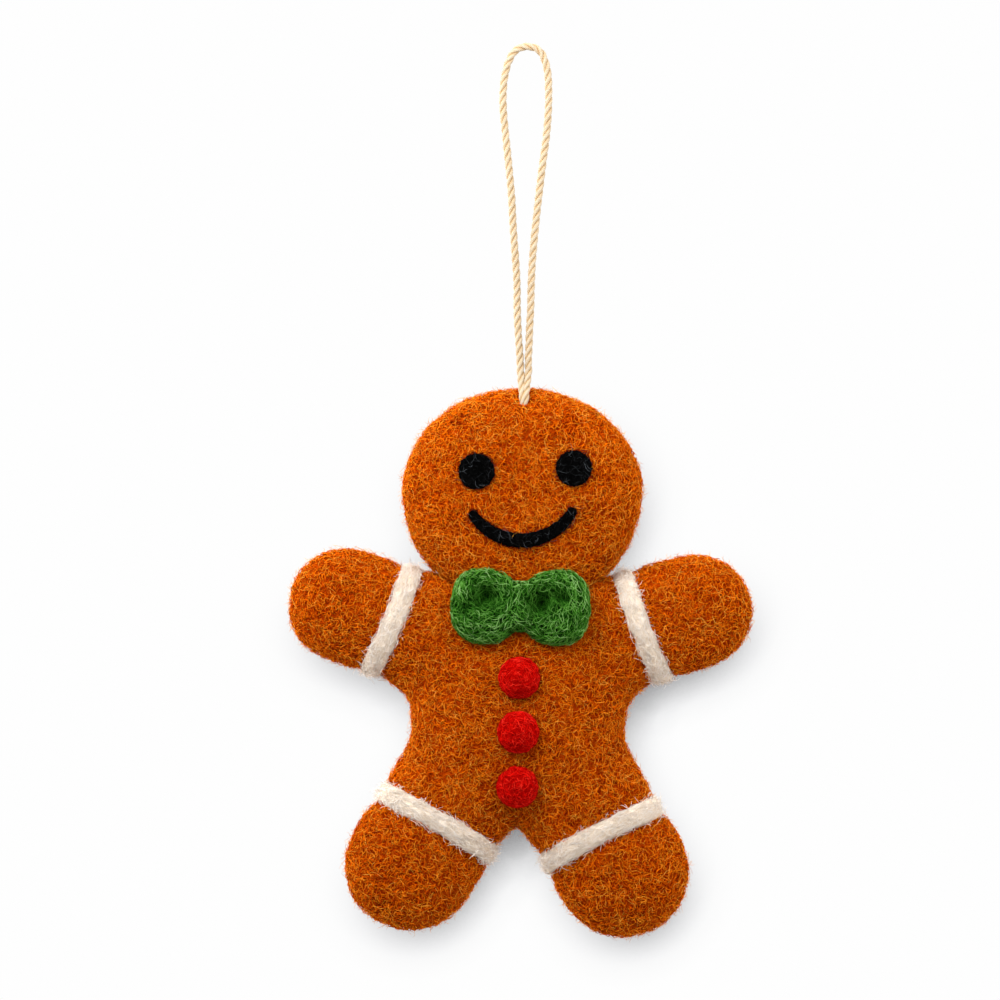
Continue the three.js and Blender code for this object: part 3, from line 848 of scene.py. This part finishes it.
inside = {
    "cores": ["head_core", "torso_core", "neck_plug"] + [f"{side}_{limb}_core" for side, limb in limbs],
    "coreVoxel": 1.6,
    "coreRounds": 2,
    "knotVoxel": 0.4,
    "knotRounds": 3,
}
for node in inside["cores"]:
    core = run(nodeCopy(node + "_wool", node), remesh(inside["coreVoxel"]), smooth(inside["coreRounds"]))
    dress(core, ground["core"], "core_wool", node, fill=1.0)
knot = run(nodeCopy("anchor_knot_cord", "anchor_knot"), remesh(inside["knotVoxel"]),
           smooth(inside["knotRounds"]))
dress(knot, ground["cream"], "cotton_cord", "anchor_knot", fill=1.0)
print("cores packed in")


# Stage: a pale floor, a clear layer behind with a painted soft shadow, light from the upper left

stage = {
    "floorZ": -335.0,
    "floorRadius": 1400.0,
    "shadowMiddle": (0, 15.4, -130.0),  # just behind the back
    "shadowHalf": 85.0,
    "shadowFrom": (-0.36, -0.38, 0.85),
    "shadowReach": (10.0, 14.0),
    "shadowStops": [(0.0, "3c3c3d"), (0.2, "979798"), (0.3, "cacacb"),
                    (0.6, "f3f3f4"), (0.85, "fdfdfd"), (1.0, "ffffff")],
    "crossingReach": 80.0,  # a figure that swings this near behind the layer clears it
    "crossingOpen": 0.8,  # wholly clear from here down
    # The room in front, the bright sheet beside and behind the figure, and straight behind it
    "ambient": {"peak": 2.8,
                "stops": [(0.42, "757575"), (0.53, "ffffff"), (0.62, "ffffff"), (0.85, "a6a6a6")]},
    "key": {"place": (-174, -222, 222), "size": 200, "power": 1.46},
    "fill": {"place": (220, -260, 190), "size": 230, "power": 0.74},
    "rim": {"place": (-380, 160, 60), "size": 200, "power": 0.8},
    "middle": (0, 5, -120),
}


def addFloor():
    bm = bmesh.new()
    bmesh.ops.create_circle(bm, cap_ends=True, segments=64, radius=stage["floorRadius"] * mm,
                            matrix=Matrix.Translation((0, 0, stage["floorZ"] * mm)))
    floor = fromBmesh("floor", bm)
    made, _, shader = startMaterial("palePaper", 0.9)  # smooth white paper, a soft even white
    shader.inputs["Base Color"].default_value = toLinear("f0f0ef")
    floor.data.materials.append(made)
    floor.visible_diffuse = False  # the room's light alone reaches the figure


def addShadowLayer():  # its front shows a painted shade, worked out from how near the figure is and not cast by the lamps, and none where the figure swings through it
    place = Vector(stage["shadowMiddle"]) * mm
    bm = bmesh.new()
    bmesh.ops.create_grid(bm, x_segments=1, y_segments=1, size=stage["shadowHalf"] * mm,
                          matrix=Matrix.Translation(place) @ Matrix.Rotation(math.pi / 2, 4, "X"))
    layer = fromBmesh("shadow_layer", bm)
    made = bpy.data.materials.new("clearShadowLayer")
    made.use_nodes = True
    tree = made.node_tree
    tree.nodes.clear()

    def openness(towards, reach):  # 1 where nothing is near on that side
        side = addNode(tree, "ShaderNodeCombineXYZ", inputs=dict(zip("XYZ", towards))).outputs[0]
        return addNode(tree, "ShaderNodeAmbientOcclusion", {"samples": 12},
                       {"Distance": reach * mm, "Normal": side}).outputs["AO"]

    # the painted shadow: darker where the figure is near, towards the upper left front
    close, wide = [openness(stage["shadowFrom"], reach) for reach in stage["shadowReach"]]
    shade = addNode(tree, "ShaderNodeMath", {"operation": "MULTIPLY"}, {0: close, 1: wide}).outputs[0]
    colour = rampOf(tree, shade, stage["shadowStops"])
    crossed = addNode(tree, "ShaderNodeMapRange", inputs={
        "Value": openness((0, 1, 0), stage["crossingReach"]),
        "From Min": stage["crossingOpen"], "From Max": 1.0, "To Min": 1.0, "To Max": 0.0}).outputs[0]
    backSide = addNode(tree, "ShaderNodeNewGeometry").outputs["Backfacing"]
    bare = addNode(tree, "ShaderNodeMath", {"operation": "MAXIMUM"}, {0: crossed, 1: backSide}).outputs[0]
    tint = addNode(tree, "ShaderNodeMix", {"data_type": "RGBA"},
                   {0: bare, 6: colour, 7: toLinear("ffffff")}).outputs[2]
    clear = addNode(tree, "ShaderNodeBsdfTransparent", inputs={"Color": tint})
    addNode(tree, "ShaderNodeOutputMaterial", inputs={"Surface": clear.outputs[0]})
    layer.data.materials.append(made)
    layer.visible_shadow = layer.visible_diffuse = layer.visible_glossy = False


def addLamp(name):
    spec = stage[name]
    data = bpy.data.lights.new(name, "AREA")
    data.size = spec["size"] * mm
    data.energy = spec["power"]
    lamp = addObject(name, data)
    lamp.visible_camera = False
    lamp.location = (Vector(spec["place"]) + Vector(stage["middle"])) * mm
    lamp.rotation_euler = (-Vector(spec["place"])).to_track_quat("-Z", "Y").to_euler()


def addWorld():
    world = bpy.data.worlds.new("studio")
    scene.world = world
    world.use_nodes = True
    tree = world.node_tree
    tree.nodes.clear()
    path = addNode(tree, "ShaderNodeLightPath").outputs
    shine = addNode(tree, "ShaderNodeMath", {"operation": "MAXIMUM"},
                    {0: path["Is Glossy Ray"], 1: path["Is Transmission Ray"]})
    seen = addNode(tree, "ShaderNodeMath", {"operation": "MAXIMUM"},
                   {0: path["Is Camera Ray"], 1: shine.outputs[0]})
    towards = addNode(tree, "ShaderNodeTexCoord").outputs["Generated"]
    depth = addNode(tree, "ShaderNodeSeparateXYZ", inputs={0: towards}).outputs["Y"]
    share = addNode(tree, "ShaderNodeMath", {"operation": "MULTIPLY_ADD"}, {0: depth, 1: 0.5, 2: 0.5})
    level = rampOf(tree, share.outputs[0], stage["ambient"]["stops"])
    room = addNode(tree, "ShaderNodeBackground",
                   inputs={"Color": level, "Strength": stage["ambient"]["peak"]})
    white = addNode(tree, "ShaderNodeBackground", inputs={"Color": toLinear("fefefe"), "Strength": 1.0})
    mixed = addNode(tree, "ShaderNodeMixShader",
                    inputs={0: seen.outputs[0], 1: room.outputs[0], 2: white.outputs[0]})
    addNode(tree, "ShaderNodeOutputWorld", inputs={"Surface": mixed.outputs[0]})


addFloor()
addShadowLayer()
for lampName in ("key", "fill", "rim"):
    addLamp(lampName)
addWorld()
print("stage lit")
